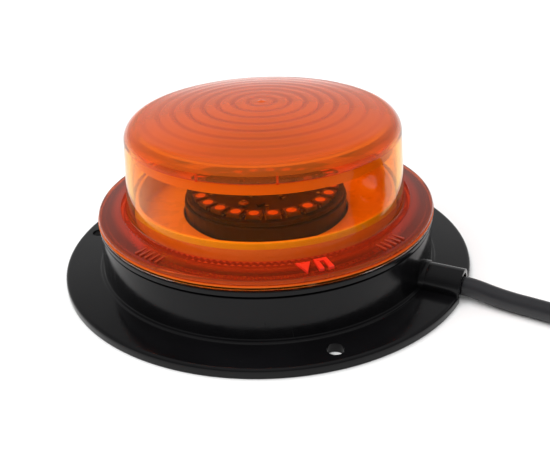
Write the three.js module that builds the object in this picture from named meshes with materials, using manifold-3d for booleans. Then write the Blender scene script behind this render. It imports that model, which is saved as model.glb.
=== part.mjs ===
// Low-profile amber LED warning beacon with a twist-lock lens, a three-hole mounting flange
// and a flying supply lead. Millimetres, +Z up. The origin is the centre of the flange's
// underside, and the lead leaves the housing along +X.
import * as THREE from 'three';
import { mergeVertices } from 'three/addons/utils/BufferGeometryUtils.js';
import Module from 'manifold-3d';

const wasm = await Module();
wasm.setup();

// ---------------------------------------------------------------- driving dimensions
const FLANGE_RADIUS = 80;
const FLANGE_THICKNESS = 3.4;
const FLANGE_EDGE_ROUND = 1.4;
const BOLT_CIRCLE_RADIUS = 73.5;
const BOLT_HOLE_RADIUS = 3;
const BOLT_COUNT = 3;
const FIRST_BOLT_AZIMUTH = -45;

const DRUM_FOOT_RADIUS = 64.9;
const DRUM_TOP_RADIUS = 64.1;
const DRUM_FOOT_FILLET = 0.7;
const RIM_OUTER_RADIUS = 64.6;
const RIM_INNER_RADIUS = 61.5;
const RIM_TOP = 22.3;
const SHADOW_GROOVE_TOP = 20.4;
const SHADOW_GROOVE_BOTTOM = 19.5;
const SHADOW_GROOVE_RADIUS = 63.2;
const DECK_TOP = 17;
const DECK_THICKNESS = 2;
const DECK_OPENING_RADIUS = 34;
const CAVITY_RADIUS = 60.2;
const PLATE_SEAT_RADIUS = 61.6;
const PLATE_SEAT_DEPTH = 3.2;

const TUNNEL_HALF_WIDTH = 6.5;
const TUNNEL_CREST_Z = 10.9;
const TUNNEL_BORE_RADIUS = 4.7;
const TUNNEL_BORE_Z = 4.7;
const TUNNEL_MOUTH_X = 79.6;
const TUNNEL_CHANNEL_START_X = 48;

const LENS_CREST_Z = 64.2;
const LENS_CROWN_RADIUS = 249;
const LENS_SHOULDER_RADIUS = 6.6;
const LENS_SHOULDER_END = 79;
const LENS_WALL_TOP_RADIUS = 51.6;
const LENS_WALL_TOP_Z = 53.9;
const LENS_WALL_FOOT_Z = 28;
const LENS_DRAFT = 4.2;
const LENS_WALL = 2.5;
const CROWN_RIM_INNER_RADIUS = 46.9;
const CROWN_RIM_OUTER_RADIUS = 48.2;
const CROWN_RIM_ROOT_Z = 57;
const CROWN_RIM_BOTTOM_Z = 48.8;
const SKIRT_OUTER_RADIUS = 64.8;
const SKIRT_INNER_Z = 27.2;
const SKIRT_OUTER_Z = 26.1;
const SKIRT_UNDERSIDE_Z = 22.9;
const SPIGOT_OUTER_RADIUS = 54.8;
const SPIGOT_INNER_RADIUS = 52.1;
const SPIGOT_BOTTOM_Z = 18.8;
const SEAL_GROOVE_INNER_RADIUS = 61.6;
const SEAL_GROOVE_OUTER_RADIUS = 63.5;
const SEAL_GROOVE_DEPTH = 1.6;

const LOCK_COUNT = 3;
const FIRST_LOCK_AZIMUTH = -45;
const LUG_OUTER_RADIUS = 58.4;
const LUG_TOP_Z = 20.9;
const LUG_SPAN = 18;
const LEDGE_INNER_RADIUS = 56.2;
const LEDGE_BOTTOM_Z = 21.2;
const LEDGE_START = -12;
const LEDGE_END = 10.5;
const STOP_START = -13.8;
const STOP_END = -9.7;

const PEDESTAL_RADIUS = 31.5;
const PEDESTAL_TOP_Z = 28;
const PEDESTAL_FOOT_RADIUS = 40;
const PEDESTAL_WALL = 2;
const PEDESTAL_FOOT_THICKNESS = 1.6;
const LED_BOARD_RADIUS = 30.6;
const LED_BOARD_THICKNESS = 1.6;
const LED_RING_RADIUS = 26;
const LED_COUNT = 24;
const LED_SIZE = 5;
const LED_HEIGHT = 1.6;
const FIRST_LED_AZIMUTH = 4;

const REFLECTOR_INNER_RADIUS = 32.2;
const REFLECTOR_OUTER_RADIUS = 50;
const REFLECTOR_TOP_Z = 22.4;
const REFLECTOR_THICKNESS = 1.6;
const REFLECTOR_RIM_TOP_Z = 33;
const REFLECTOR_RIM_THICKNESS = 1.4;
const REFLECTOR_CORNER = 1.6;
const REFLECTOR_LEG_CIRCLE = 45;

const DRIVER_BOARD_BOTTOM_Z = 6.6;
const DRIVER_BOARD_THICKNESS = 1.6;

const CABLE_RADIUS = 3.5;
const COIL_CENTRE_X = 162;
const COIL_CENTRE_Y = 41;
const COIL_MEAN_RADIUS = 40;
const COIL_HALF_WIDTH = 10.7;
const COIL_BOTTOM_Z = 1.05;
const COIL_TOP_Z = 7.8;

const TOUCH_GAP = 0.3;
const BOOLEAN_OVERLAP = 0.4;
const PILOT_HOLE_RADIUS = 1.3;
const CLEARANCE_HOLE_RADIUS = 1.5;
const ROUND_SEGMENTS = 48;

// ---------------------------------------------------------------- materials
function material(color, roughness, metalness, extra = {}) {
  return new THREE.MeshStandardMaterial({ color, roughness, metalness, ...extra });
}

const amberPlastic = material(0xe85a10, 0.12, 0, { transparent: true, opacity: 0.6 });
const blackPlastic = material(0x17171a, 0.3, 0);
const whitePlastic = material(0xe9e6df, 0.45, 0);
const blackAluminium = material(0x1b1b1d, 0.45, 0.8);
const blackBoard = material(0x15211a, 0.4, 0);
const greenBoard = material(0x1f5a34, 0.4, 0);
const ledPackage = material(0xf2ead0, 0.5, 0);
const blackChip = material(0x1a1a1c, 0.5, 0);
const steel = material(0xb9bcc0, 0.3, 1);
const sealRubber = material(0x202022, 0.8, 0);
const cableJacket = material(0x26272a, 0.55, 0);
const redInsulation = material(0xb5231c, 0.5, 0);
const blackInsulation = material(0x1d1d1f, 0.5, 0);
const nylon = material(0xdcd8cc, 0.5, 0);
const greenNylon = material(0x2f7d46, 0.5, 0);
const aluminiumCan = material(0xa9adb2, 0.3, 0.9);
const ferrite = material(0x2c2c2e, 0.7, 0);

// ---------------------------------------------------------------- geometry helpers
const radians = THREE.MathUtils.degToRad;

function onCircle(radius, azimuth) {
  return [radius * Math.cos(radians(azimuth)), radius * Math.sin(radians(azimuth))];
}

function arcPoints(centreR, centreZ, radius, from, to, steps) {
  const points = [];
  for (let i = 0; i <= steps; i += 1) {
    const angle = radians(from + ((to - from) * i) / steps);
    points.push([centreR + radius * Math.cos(angle), centreZ + radius * Math.sin(angle)]);
  }
  return points;
}

// Twice the signed area of a closed outline: positive when it runs anticlockwise.
function signedArea(outline) {
  let sum = 0;
  outline.forEach(([x, y], i) => {
    const [nextX, nextY] = outline[(i + 1) % outline.length];
    sum += x * nextY - nextX * y;
  });
  return sum;
}

// A (radius, z) outline turned about Z. One that reaches the axis starts and ends on it.
function turned(outline, segments = ROUND_SEGMENTS) {
  const ordered = signedArea(outline) > 0 ? outline : [...outline].reverse();
  const startsOnAxis = ordered[0][0] === 0;
  const loop = startsOnAxis ? ordered : [...ordered, ordered[0]];
  const points = loop.map(([r, z]) => new THREE.Vector2(r, z));
  const geometry = new THREE.LatheGeometry(points, segments);
  geometry.rotateX(Math.PI / 2);
  return geometry;
}

// A ring of rectangular section between two azimuths.
function ringSegment(innerRadius, outerRadius, bottom, top, from, to) {
  const shape = new THREE.Shape();
  shape.absarc(0, 0, outerRadius, radians(from), radians(to), false);
  shape.absarc(0, 0, innerRadius, radians(to), radians(from), true);
  return raised(shape, bottom, top, 4);
}

function raised(shape, bottom, top, curveSegments = 16) {
  const geometry = new THREE.ExtrudeGeometry(shape, {
    depth: top - bottom,
    bevelEnabled: false,
    curveSegments,
  });
  geometry.translate(0, 0, bottom);
  return geometry;
}

// A (y, z) outline drawn out along X.
function alongX(shape, fromX, toX, curveSegments) {
  const geometry = new THREE.ExtrudeGeometry(shape, {
    depth: toX - fromX,
    bevelEnabled: false,
    curveSegments,
  });
  geometry.rotateX(Math.PI / 2);
  geometry.rotateZ(Math.PI / 2);
  geometry.translate(fromX, 0, 0);
  return geometry;
}

function box(sizeX, sizeY, sizeZ, x, y, z) {
  const geometry = new THREE.BoxGeometry(sizeX, sizeY, sizeZ);
  geometry.translate(x, y, z);
  return geometry;
}

function post(radius, bottom, top, x, y, segments = 14) {
  const geometry = new THREE.CylinderGeometry(radius, radius, top - bottom, segments);
  geometry.rotateX(Math.PI / 2);
  geometry.translate(x, y, (top + bottom) / 2);
  return geometry;
}

function tube(points, radius, sides, steps) {
  const curve = new THREE.CatmullRomCurve3(points.map((p) => new THREE.Vector3(...p)));
  const section = new THREE.Shape();
  for (let i = 0; i < sides; i += 1) {
    const [x, y] = onCircle(radius, (360 * (i + 0.5)) / sides);
    if (i === 0) section.moveTo(x, y);
    else section.lineTo(x, y);
  }
  section.closePath();
  return new THREE.ExtrudeGeometry(section, { steps, extrudePath: curve, bevelEnabled: false });
}

function solid(geometry) {
  const bare = geometry.clone();
  bare.deleteAttribute('normal');
  bare.deleteAttribute('uv');
  const merged = mergeVertices(bare, 1e-4);
  const index = merged.index.array;
  const kept = [];
  for (let i = 0; i < index.length; i += 3) {
    const [a, b, c] = [index[i], index[i + 1], index[i + 2]];
    if (a !== b && b !== c && c !== a) kept.push(a, b, c);
  }
  const mesh = new wasm.Mesh({
    numProp: 3,
    vertProperties: new Float32Array(merged.attributes.position.array),
    triVerts: new Uint32Array(kept),
  });
  return new wasm.Manifold(mesh);
}

function geometryOf(body) {
  const mesh = body.getMesh();
  const geometry = new THREE.BufferGeometry();
  geometry.setAttribute('position', new THREE.BufferAttribute(mesh.vertProperties, 3));
  geometry.setIndex(new THREE.BufferAttribute(mesh.triVerts, 1));
  geometry.computeVertexNormals();
  return geometry;
}

function combined(base, additions, cuts) {
  let body = solid(base);
  for (const piece of additions) body = body.add(solid(piece));
  for (const piece of cuts) body = body.subtract(solid(piece));
  return geometryOf(body);
}

const beacon = new THREE.Group();

function place(name, geometry, finish) {
  const mesh = new THREE.Mesh(geometry, finish);
  mesh.name = name;
  beacon.add(mesh);
  return mesh;
}

// ---------------------------------------------------------------- base housing
// The channel the lead passes through: a round bore that is open to the underside.
function tunnelChannel() {
  const shape = new THREE.Shape();
  shape.moveTo(-TUNNEL_BORE_RADIUS, -1);
  shape.lineTo(TUNNEL_BORE_RADIUS, -1);
  shape.lineTo(TUNNEL_BORE_RADIUS, TUNNEL_BORE_Z);
  shape.absarc(0, TUNNEL_BORE_Z, TUNNEL_BORE_RADIUS, 0, Math.PI, false);
  shape.closePath();
  return alongX(shape, TUNNEL_CHANNEL_START_X, FLANGE_RADIUS + 5, 10);
}

function tunnelHood() {
  const shape = new THREE.Shape();
  const springZ = TUNNEL_CREST_Z - TUNNEL_HALF_WIDTH;
  shape.moveTo(-TUNNEL_HALF_WIDTH, BOOLEAN_OVERLAP);
  shape.lineTo(TUNNEL_HALF_WIDTH, BOOLEAN_OVERLAP);
  shape.lineTo(TUNNEL_HALF_WIDTH, springZ);
  shape.absarc(0, springZ, TUNNEL_HALF_WIDTH, 0, Math.PI, false);
  shape.closePath();
  return alongX(shape, CAVITY_RADIUS + 0.8, TUNNEL_MOUTH_X, 14);
}

function housingOutline() {
  const edge = FLANGE_RADIUS - FLANGE_EDGE_ROUND;
  const footFillet = arcPoints(
    DRUM_FOOT_RADIUS + DRUM_FOOT_FILLET,
    FLANGE_THICKNESS + DRUM_FOOT_FILLET,
    DRUM_FOOT_FILLET,
    270,
    180,
    2,
  );
  return [
    [PLATE_SEAT_RADIUS, 0],
    [FLANGE_RADIUS - 0.4, 0],
    [FLANGE_RADIUS, 0.4],
    ...arcPoints(edge, FLANGE_THICKNESS - FLANGE_EDGE_ROUND, FLANGE_EDGE_ROUND, 0, 90, 3),
    ...footFillet,
    [DRUM_TOP_RADIUS, SHADOW_GROOVE_BOTTOM - 0.3],
    [DRUM_TOP_RADIUS - 0.3, SHADOW_GROOVE_BOTTOM],
    [SHADOW_GROOVE_RADIUS, SHADOW_GROOVE_BOTTOM],
    [SHADOW_GROOVE_RADIUS, SHADOW_GROOVE_TOP],
    [RIM_OUTER_RADIUS, SHADOW_GROOVE_TOP],
    [RIM_OUTER_RADIUS, RIM_TOP - 0.4],
    [RIM_OUTER_RADIUS - 0.4, RIM_TOP],
    [RIM_INNER_RADIUS, RIM_TOP],
    [RIM_INNER_RADIUS, DECK_TOP],
    [DECK_OPENING_RADIUS, DECK_TOP],
    [DECK_OPENING_RADIUS, DECK_TOP - DECK_THICKNESS],
    [CAVITY_RADIUS, DECK_TOP - DECK_THICKNESS],
    [CAVITY_RADIUS, PLATE_SEAT_DEPTH],
    [PLATE_SEAT_RADIUS, PLATE_SEAT_DEPTH],
  ];
}

const PLATE_POST_RADIUS = 3.4;
const PLATE_POST_CIRCLE = 54;
const PLATE_POST_AZIMUTHS = [60, 180, 300];
const DRIVER_POST_RADIUS = 2.8;
const DRIVER_POST_PLACES = [
  [26, 30],
  [-26, -30],
];
const PEDESTAL_SCREW_CIRCLE = 37;
const PEDESTAL_SCREW_AZIMUTHS = [0, 120, 240];

function baseHousing() {
  const deckBottom = DECK_TOP - DECK_THICKNESS;
  const additions = [tunnelHood()];
  const cuts = [tunnelChannel()];
  for (const azimuth of PLATE_POST_AZIMUTHS) {
    const [x, y] = onCircle(PLATE_POST_CIRCLE, azimuth);
    additions.push(post(PLATE_POST_RADIUS, PLATE_SEAT_DEPTH, deckBottom + BOOLEAN_OVERLAP, x, y));
    cuts.push(post(PILOT_HOLE_RADIUS, PLATE_SEAT_DEPTH - 1, 12, x, y, 10));
  }
  for (const [x, y] of DRIVER_POST_PLACES) {
    const bottom = DRIVER_BOARD_BOTTOM_Z + DRIVER_BOARD_THICKNESS + TOUCH_GAP;
    additions.push(post(DRIVER_POST_RADIUS, bottom, deckBottom + BOOLEAN_OVERLAP, x, y));
    cuts.push(post(PILOT_HOLE_RADIUS, bottom - 1, 13.5, x, y, 10));
  }
  for (const azimuth of PEDESTAL_SCREW_AZIMUTHS) {
    const [x, y] = onCircle(PEDESTAL_SCREW_CIRCLE, azimuth);
    cuts.push(post(PILOT_HOLE_RADIUS, deckBottom - 1, DECK_TOP + 1, x, y, 10));
  }
  for (let i = 0; i < BOLT_COUNT; i += 1) {
    const [x, y] = onCircle(BOLT_CIRCLE_RADIUS, FIRST_BOLT_AZIMUTH + (360 * i) / BOLT_COUNT);
    cuts.push(post(BOLT_HOLE_RADIUS, -1, FLANGE_THICKNESS + 1, x, y, 24));
  }
  for (let i = 0; i < LOCK_COUNT; i += 1) {
    const centre = FIRST_LOCK_AZIMUTH + (360 * i) / LOCK_COUNT;
    const wallOverlap = RIM_INNER_RADIUS + BOOLEAN_OVERLAP;
    const ledgeStart = centre + LEDGE_START;
    const ledgeEnd = centre + LEDGE_END;
    additions.push(
      ringSegment(LEDGE_INNER_RADIUS, wallOverlap, LEDGE_BOTTOM_Z, RIM_TOP, ledgeStart, ledgeEnd),
    );
    additions.push(
      ringSegment(
        LEDGE_INNER_RADIUS + 0.6,
        wallOverlap,
        DECK_TOP - BOOLEAN_OVERLAP,
        LEDGE_BOTTOM_Z + BOOLEAN_OVERLAP,
        centre + STOP_START,
        centre + STOP_END,
      ),
    );
  }
  return combined(turned(housingOutline()), additions, cuts);
}

place('base_housing', baseHousing(), blackPlastic);

// ---------------------------------------------------------------- bottom closure
const GASKET_THICKNESS = 0.8;
const GASKET_INNER_RADIUS = 57.8;
const PLATE_BOTTOM_Z = 0.5;
const PLATE_TOP_Z = 1.8;
const PLATE_RADIUS = 61.2;

// Clears the lead where it rises from the tunnel into the housing.
function leadNotch() {
  const length = 16;
  const width = 2 * (TUNNEL_BORE_RADIUS + TOUCH_GAP);
  return box(length, width, 2 * TUNNEL_BORE_RADIUS, PLATE_RADIUS - 3, 0, TUNNEL_BORE_Z);
}

function bottomPlate() {
  const disc = turned([
    [0, PLATE_BOTTOM_Z],
    [PLATE_RADIUS, PLATE_BOTTOM_Z],
    [PLATE_RADIUS, PLATE_TOP_Z],
    [0, PLATE_TOP_Z],
  ]);
  const holes = PLATE_POST_AZIMUTHS.map((azimuth) => {
    const [x, y] = onCircle(PLATE_POST_CIRCLE, azimuth);
    return post(CLEARANCE_HOLE_RADIUS, 0, 4, x, y, 10);
  });
  return combined(disc, [], [leadNotch(), ...holes]);
}

function bottomGasket() {
  const bottom = PLATE_TOP_Z + TOUCH_GAP;
  const top = bottom + GASKET_THICKNESS;
  const ring = turned([
    [GASKET_INNER_RADIUS, bottom],
    [PLATE_RADIUS, bottom],
    [PLATE_RADIUS, top],
    [GASKET_INNER_RADIUS, top],
  ]);
  return combined(ring, [], [leadNotch()]);
}

// A pan-head screw standing head up, its head's underside at z = 0.
function panHeadScrew(headRadius, headHeight, shankRadius, shankLength) {
  const outline = [
    [0, -shankLength],
    [shankRadius, -shankLength],
    [shankRadius, 0],
    [headRadius, 0],
    [headRadius, headHeight * 0.55],
    [headRadius * 0.7, headHeight],
    [0, headHeight],
  ];
  const slot = box(headRadius * 1.3, headRadius * 0.3, headHeight * 0.6, 0, 0, headHeight);
  return combined(turned(outline, 10), [], [slot]);
}

function placeScrew(name, [x, y], headZ, headDown, sizes) {
  const mesh = place(name, panHeadScrew(...sizes), steel);
  mesh.position.set(x, y, headZ);
  if (headDown) mesh.rotation.x = Math.PI;
}

place('bottom_plate', bottomPlate(), blackPlastic);
place('bottom_gasket', bottomGasket(), sealRubber);
const PLATE_SCREW = [2.6, 0.35, 1, 9];
PLATE_POST_AZIMUTHS.forEach((azimuth, i) => {
  const seat = onCircle(PLATE_POST_CIRCLE, azimuth);
  placeScrew(`plate_screw_${i + 1}`, seat, PLATE_BOTTOM_Z - 0.1, true, PLATE_SCREW);
});

// ---------------------------------------------------------------- pedestal and reflector
const SMALL_SCREW = [2, 1.1, 0.95, 4.5];
const BOARD_SCREW_CIRCLE = 17;
const BOARD_SCREW_AZIMUTHS = [30, 150, 270];
const HEADER_X = 6;
const HEADER_Y = 8;

function ledPedestal() {
  const footBottom = DECK_TOP + TOUCH_GAP;
  const inner = PEDESTAL_RADIUS - PEDESTAL_WALL;
  const outline = [
    [0, PEDESTAL_TOP_Z - PEDESTAL_WALL],
    [inner, PEDESTAL_TOP_Z - PEDESTAL_WALL],
    [inner, footBottom],
    [PEDESTAL_FOOT_RADIUS, footBottom],
    [PEDESTAL_FOOT_RADIUS, footBottom + PEDESTAL_FOOT_THICKNESS],
    [PEDESTAL_RADIUS, footBottom + PEDESTAL_FOOT_THICKNESS],
    [PEDESTAL_RADIUS, PEDESTAL_TOP_Z - 0.4],
    [PEDESTAL_RADIUS - 0.4, PEDESTAL_TOP_Z],
    [0, PEDESTAL_TOP_Z],
  ];
  const cuts = [box(10, 5, 8, HEADER_X, HEADER_Y, PEDESTAL_TOP_Z)];
  for (const azimuth of BOARD_SCREW_AZIMUTHS) {
    const [x, y] = onCircle(BOARD_SCREW_CIRCLE, azimuth);
    cuts.push(post(PILOT_HOLE_RADIUS, PEDESTAL_TOP_Z - 4, PEDESTAL_TOP_Z + 1, x, y, 10));
  }
  for (const azimuth of PEDESTAL_SCREW_AZIMUTHS) {
    const [x, y] = onCircle(PEDESTAL_SCREW_CIRCLE, azimuth);
    cuts.push(post(CLEARANCE_HOLE_RADIUS, footBottom - 1, footBottom + 3, x, y, 10));
  }
  return combined(turned(outline), [], cuts);
}

// A shallow dish: a flat deck round the pedestal and an upright rim inside the lens wall.
function reflectorDeck() {
  const bottom = REFLECTOR_TOP_Z - REFLECTOR_THICKNESS;
  const rimInner = REFLECTOR_OUTER_RADIUS - REFLECTOR_RIM_THICKNESS;
  const outline = [
    [REFLECTOR_INNER_RADIUS, bottom],
    [REFLECTOR_OUTER_RADIUS, bottom],
    [REFLECTOR_OUTER_RADIUS, REFLECTOR_RIM_TOP_Z],
    [rimInner, REFLECTOR_RIM_TOP_Z],
    [rimInner, REFLECTOR_TOP_Z + REFLECTOR_CORNER],
    [rimInner - REFLECTOR_CORNER, REFLECTOR_TOP_Z],
    [REFLECTOR_INNER_RADIUS, REFLECTOR_TOP_Z],
  ];
  const legs = PEDESTAL_SCREW_AZIMUTHS.map((azimuth) => {
    const [x, y] = onCircle(REFLECTOR_LEG_CIRCLE, azimuth + 60);
    return post(2.4, DECK_TOP + TOUCH_GAP, bottom + BOOLEAN_OVERLAP, x, y, 12);
  });
  return combined(turned(outline), legs, []);
}

place('led_pedestal', ledPedestal(), blackAluminium);
place('reflector_deck', reflectorDeck(), whitePlastic);
PEDESTAL_SCREW_AZIMUTHS.forEach((azimuth, i) => {
  const headZ = DECK_TOP + PEDESTAL_FOOT_THICKNESS + 2 * TOUCH_GAP;
  const seat = onCircle(PEDESTAL_SCREW_CIRCLE, azimuth);
  placeScrew(`pedestal_screw_${i + 1}`, seat, headZ, false, SMALL_SCREW);
});

// ---------------------------------------------------------------- LED board
const LED_BOARD_BOTTOM_Z = PEDESTAL_TOP_Z + TOUCH_GAP;
const LED_BOARD_TOP_Z = LED_BOARD_BOTTOM_Z + LED_BOARD_THICKNESS;
const PART_SEAT_Z = LED_BOARD_TOP_Z + TOUCH_GAP;

function ledBoard() {
  const disc = turned([
    [0, LED_BOARD_BOTTOM_Z],
    [LED_BOARD_RADIUS, LED_BOARD_BOTTOM_Z],
    [LED_BOARD_RADIUS, LED_BOARD_TOP_Z],
    [0, LED_BOARD_TOP_Z],
  ]);
  const holes = BOARD_SCREW_AZIMUTHS.map((azimuth) => {
    const [x, y] = onCircle(BOARD_SCREW_CIRCLE, azimuth);
    return post(CLEARANCE_HOLE_RADIUS, LED_BOARD_BOTTOM_Z - 1, LED_BOARD_TOP_Z + 1, x, y, 10);
  });
  return combined(disc, [], [...holes, box(8.4, 3.4, 6, HEADER_X, HEADER_Y, LED_BOARD_TOP_Z)]);
}

// A surface-mount package with a shallow round emitter well in its top.
function ledBody() {
  const body = box(LED_SIZE, LED_SIZE, LED_HEIGHT, 0, 0, LED_HEIGHT / 2);
  const well = post(2, LED_HEIGHT - 0.3, LED_HEIGHT + 1, 0, 0, 8);
  return combined(body, [], [well]);
}

function placeChip(name, size, [x, y], turn, finish) {
  const mesh = place(name, box(...size, 0, 0, size[2] / 2), finish);
  mesh.position.set(x, y, PART_SEAT_Z);
  mesh.rotation.z = radians(turn);
}

place('led_board', ledBoard(), blackBoard);
BOARD_SCREW_AZIMUTHS.forEach((azimuth, i) => {
  const seat = onCircle(BOARD_SCREW_CIRCLE, azimuth);
  placeScrew(`board_screw_${i + 1}`, seat, PART_SEAT_Z, false, SMALL_SCREW);
});
for (let i = 0; i < LED_COUNT; i += 1) {
  const azimuth = FIRST_LED_AZIMUTH + (360 * i) / LED_COUNT;
  const [x, y] = onCircle(LED_RING_RADIUS, azimuth);
  const mesh = place(`led_${String(i + 1).padStart(2, '0')}`, ledBody(), ledPackage);
  mesh.position.set(x, y, PART_SEAT_Z);
  mesh.rotation.z = radians(azimuth);
}
placeChip('flash_controller', [5, 4, 1.6], [-3, -6], 20, blackChip);
placeChip('chip_resistor', [3.2, 1.6, 0.7], [6, -15], 62, blackChip);

// ---------------------------------------------------------------- driver board under the deck
const DRIVER_PART_Z = DRIVER_BOARD_BOTTOM_Z + DRIVER_BOARD_THICKNESS + TOUCH_GAP;

function driverBoard() {
  const bottom = DRIVER_BOARD_BOTTOM_Z;
  const top = bottom + DRIVER_BOARD_THICKNESS;
  const board = box(66, 68, DRIVER_BOARD_THICKNESS, 0, 0, (bottom + top) / 2);
  const holes = DRIVER_POST_PLACES.map(([x, y]) => (
    post(CLEARANCE_HOLE_RADIUS, bottom - 1, top + 1, x, y, 10)
  ));
  return combined(board, [], holes);
}

function driverInductor() {
  const z = DRIVER_PART_Z;
  return turned([
    [0, z],
    [6, z],
    [6, z + 1.4],
    [4.4, z + 2],
    [4.4, z + 6.4],
    [6, z + 7],
    [6, z + 8.4],
    [0, z + 8.4],
  ], 16).translate(-12, -12, 0);
}

function driverCapacitor() {
  const z = DRIVER_PART_Z;
  return turned([
    [0, z],
    [5, z],
    [5, z + 1.6],
    [4.6, z + 2],
    [5, z + 2.4],
    [5, z + 13.6],
    [4.6, z + 14],
    [0, z + 14],
  ], 16).translate(-12, 10, 0);
}

function terminalBlock() {
  const block = box(8, 11, 6, 28, 0, DRIVER_PART_Z + 3);
  const mouths = [-2.6, 2.6].map((y) => box(4, 2.8, 2.8, 32, y, DRIVER_PART_Z + 2.4));
  const screwWells = [-2.6, 2.6].map((y) => (
    post(CLEARANCE_HOLE_RADIUS, DRIVER_PART_Z + 4.6, DRIVER_PART_Z + 8, 27, y, 10)
  ));
  return combined(block, [], [...mouths, ...screwWells]);
}

place('driver_board', driverBoard(), greenBoard);
place('driver_inductor', driverInductor(), ferrite);
place('driver_capacitor', driverCapacitor(), aluminiumCan);
place('driver_regulator', box(10, 9, 2.6, 8, -14, DRIVER_PART_Z + 1.3), blackChip);
place('terminal_block', terminalBlock(), greenNylon);
const HEADER_TOP_Z = LED_BOARD_TOP_Z + 1.2;
place(
  'board_link_header',
  box(7.6, 2.5, HEADER_TOP_Z - DRIVER_PART_Z, HEADER_X, HEADER_Y, (HEADER_TOP_Z + DRIVER_PART_Z) / 2),
  blackChip,
);
DRIVER_POST_PLACES.forEach((seat, i) => {
  placeScrew(`driver_screw_${i + 1}`, seat, DRIVER_BOARD_BOTTOM_Z - TOUCH_GAP, true, SMALL_SCREW);
});

// ---------------------------------------------------------------- lead inside the housing
const LEAD_INNER_END_X = 47;

function cableGrommet() {
  const outer = TUNNEL_BORE_RADIUS - TOUCH_GAP;
  const inner = CABLE_RADIUS + TOUCH_GAP;
  const ring = turned([
    [inner, 0],
    [outer, 0],
    [outer, 16],
    [inner, 16],
  ], 24);
  ring.rotateY(Math.PI / 2);
  ring.translate(62, 0, TUNNEL_BORE_Z);
  return ring;
}

function cableInner() {
  const z = TUNNEL_BORE_Z;
  const route = [
    [TUNNEL_MOUTH_X, 0, z],
    [74, 0, z],
    [68, 0, z],
    [62, 0, z + 0.1],
    [57, 0, z + 1],
    [52, 0, z + 2.4],
    [LEAD_INNER_END_X, 0, z + 3.4],
  ];
  return tube(route, CABLE_RADIUS, 10, 6);
}

function innerCore(side) {
  const startZ = TUNNEL_BORE_Z + 3.5;
  const mouthZ = DRIVER_PART_Z + 2.4;
  return tube([
    [LEAD_INNER_END_X - TOUCH_GAP - 0.2, side * 1.4, startZ],
    [42, side * 1.9, startZ + 0.6],
    [37, side * 2.5, mouthZ],
    [31, side * 2.6, mouthZ],
  ], 1, 8, 6);
}

function cableTie() {
  const inner = CABLE_RADIUS + 0.55;
  const strap = turned([
    [inner, -1.8],
    [inner + 1, -1.8],
    [inner + 1, 1.8],
    [inner, 1.8],
  ], 24);
  const head = box(4, 4.4, 3.6, 0, inner + 2.4, 0);
  const tie = combined(strap, [head], []);
  tie.rotateY(Math.PI / 2 + radians(15));
  tie.translate(53.6, 0, TUNNEL_BORE_Z + 1.95);
  return tie;
}

place('cable_grommet', cableGrommet(), sealRubber);
place('cable_inner', cableInner(), cableJacket);
place('core_red_inner', innerCore(1), redInsulation);
place('core_black_inner', innerCore(-1), blackInsulation);
place('cable_tie', cableTie(), nylon);

// ---------------------------------------------------------------- twist-lock lens
function lensShoulder(radius, steps) {
  const draft = radians(LENS_DRAFT);
  const centreR = LENS_WALL_TOP_RADIUS - LENS_SHOULDER_RADIUS * Math.cos(draft);
  const centreZ = LENS_WALL_TOP_Z - LENS_SHOULDER_RADIUS * Math.sin(draft);
  return arcPoints(centreR, centreZ, radius, LENS_DRAFT, LENS_SHOULDER_END, steps);
}

function crownPoint(radius, drop) {
  const fall = LENS_CROWN_RADIUS - Math.sqrt(LENS_CROWN_RADIUS ** 2 - radius ** 2);
  return [radius, LENS_CREST_Z - fall - drop];
}

// The outline starts under the crown. A thin rim hangs from the crown's edge, inside the wall.
function lensOutline() {
  const footRadius = LENS_WALL_TOP_RADIUS
    + (LENS_WALL_TOP_Z - LENS_WALL_FOOT_Z) * Math.tan(radians(LENS_DRAFT));
  const crownRadii = [32, 16];
  const grooveTop = SKIRT_UNDERSIDE_Z + SEAL_GROOVE_DEPTH;
  const [innerCrownEdge, , innerShoulder, innerWallTop] = lensShoulder(
    LENS_SHOULDER_RADIUS - LENS_WALL,
    3,
  ).reverse();
  return [
    crownPoint(0, LENS_WALL),
    ...crownRadii.slice().reverse().map((radius) => crownPoint(radius, LENS_WALL)),
    innerCrownEdge,
    [CROWN_RIM_INNER_RADIUS, CROWN_RIM_ROOT_Z],
    [CROWN_RIM_INNER_RADIUS, CROWN_RIM_BOTTOM_Z],
    [CROWN_RIM_OUTER_RADIUS, CROWN_RIM_BOTTOM_Z],
    [CROWN_RIM_OUTER_RADIUS, innerShoulder[1] + 0.4],
    innerShoulder,
    innerWallTop,
    [footRadius - LENS_WALL, LENS_WALL_FOOT_Z - 1],
    [SPIGOT_INNER_RADIUS, SPIGOT_BOTTOM_Z],
    [SPIGOT_OUTER_RADIUS, SPIGOT_BOTTOM_Z],
    [SPIGOT_OUTER_RADIUS, SKIRT_UNDERSIDE_Z],
    [SEAL_GROOVE_INNER_RADIUS, SKIRT_UNDERSIDE_Z],
    [SEAL_GROOVE_INNER_RADIUS, grooveTop],
    [SEAL_GROOVE_OUTER_RADIUS, grooveTop],
    [SEAL_GROOVE_OUTER_RADIUS, SKIRT_UNDERSIDE_Z],
    [SKIRT_OUTER_RADIUS - 0.3, SKIRT_UNDERSIDE_Z],
    [SKIRT_OUTER_RADIUS, SKIRT_UNDERSIDE_Z + 0.4],
    [SKIRT_OUTER_RADIUS, SKIRT_OUTER_Z - 1.3],
    [SKIRT_OUTER_RADIUS - 0.5, SKIRT_OUTER_Z - 0.4],
    [SKIRT_OUTER_RADIUS - 1.4, SKIRT_OUTER_Z],
    [footRadius + 0.9, SKIRT_INNER_Z],
    [footRadius, LENS_WALL_FOOT_Z],
    ...lensShoulder(LENS_SHOULDER_RADIUS, 5),
    ...crownRadii.map((radius) => crownPoint(radius, 0)),
    crownPoint(0, 0),
  ];
}

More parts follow.
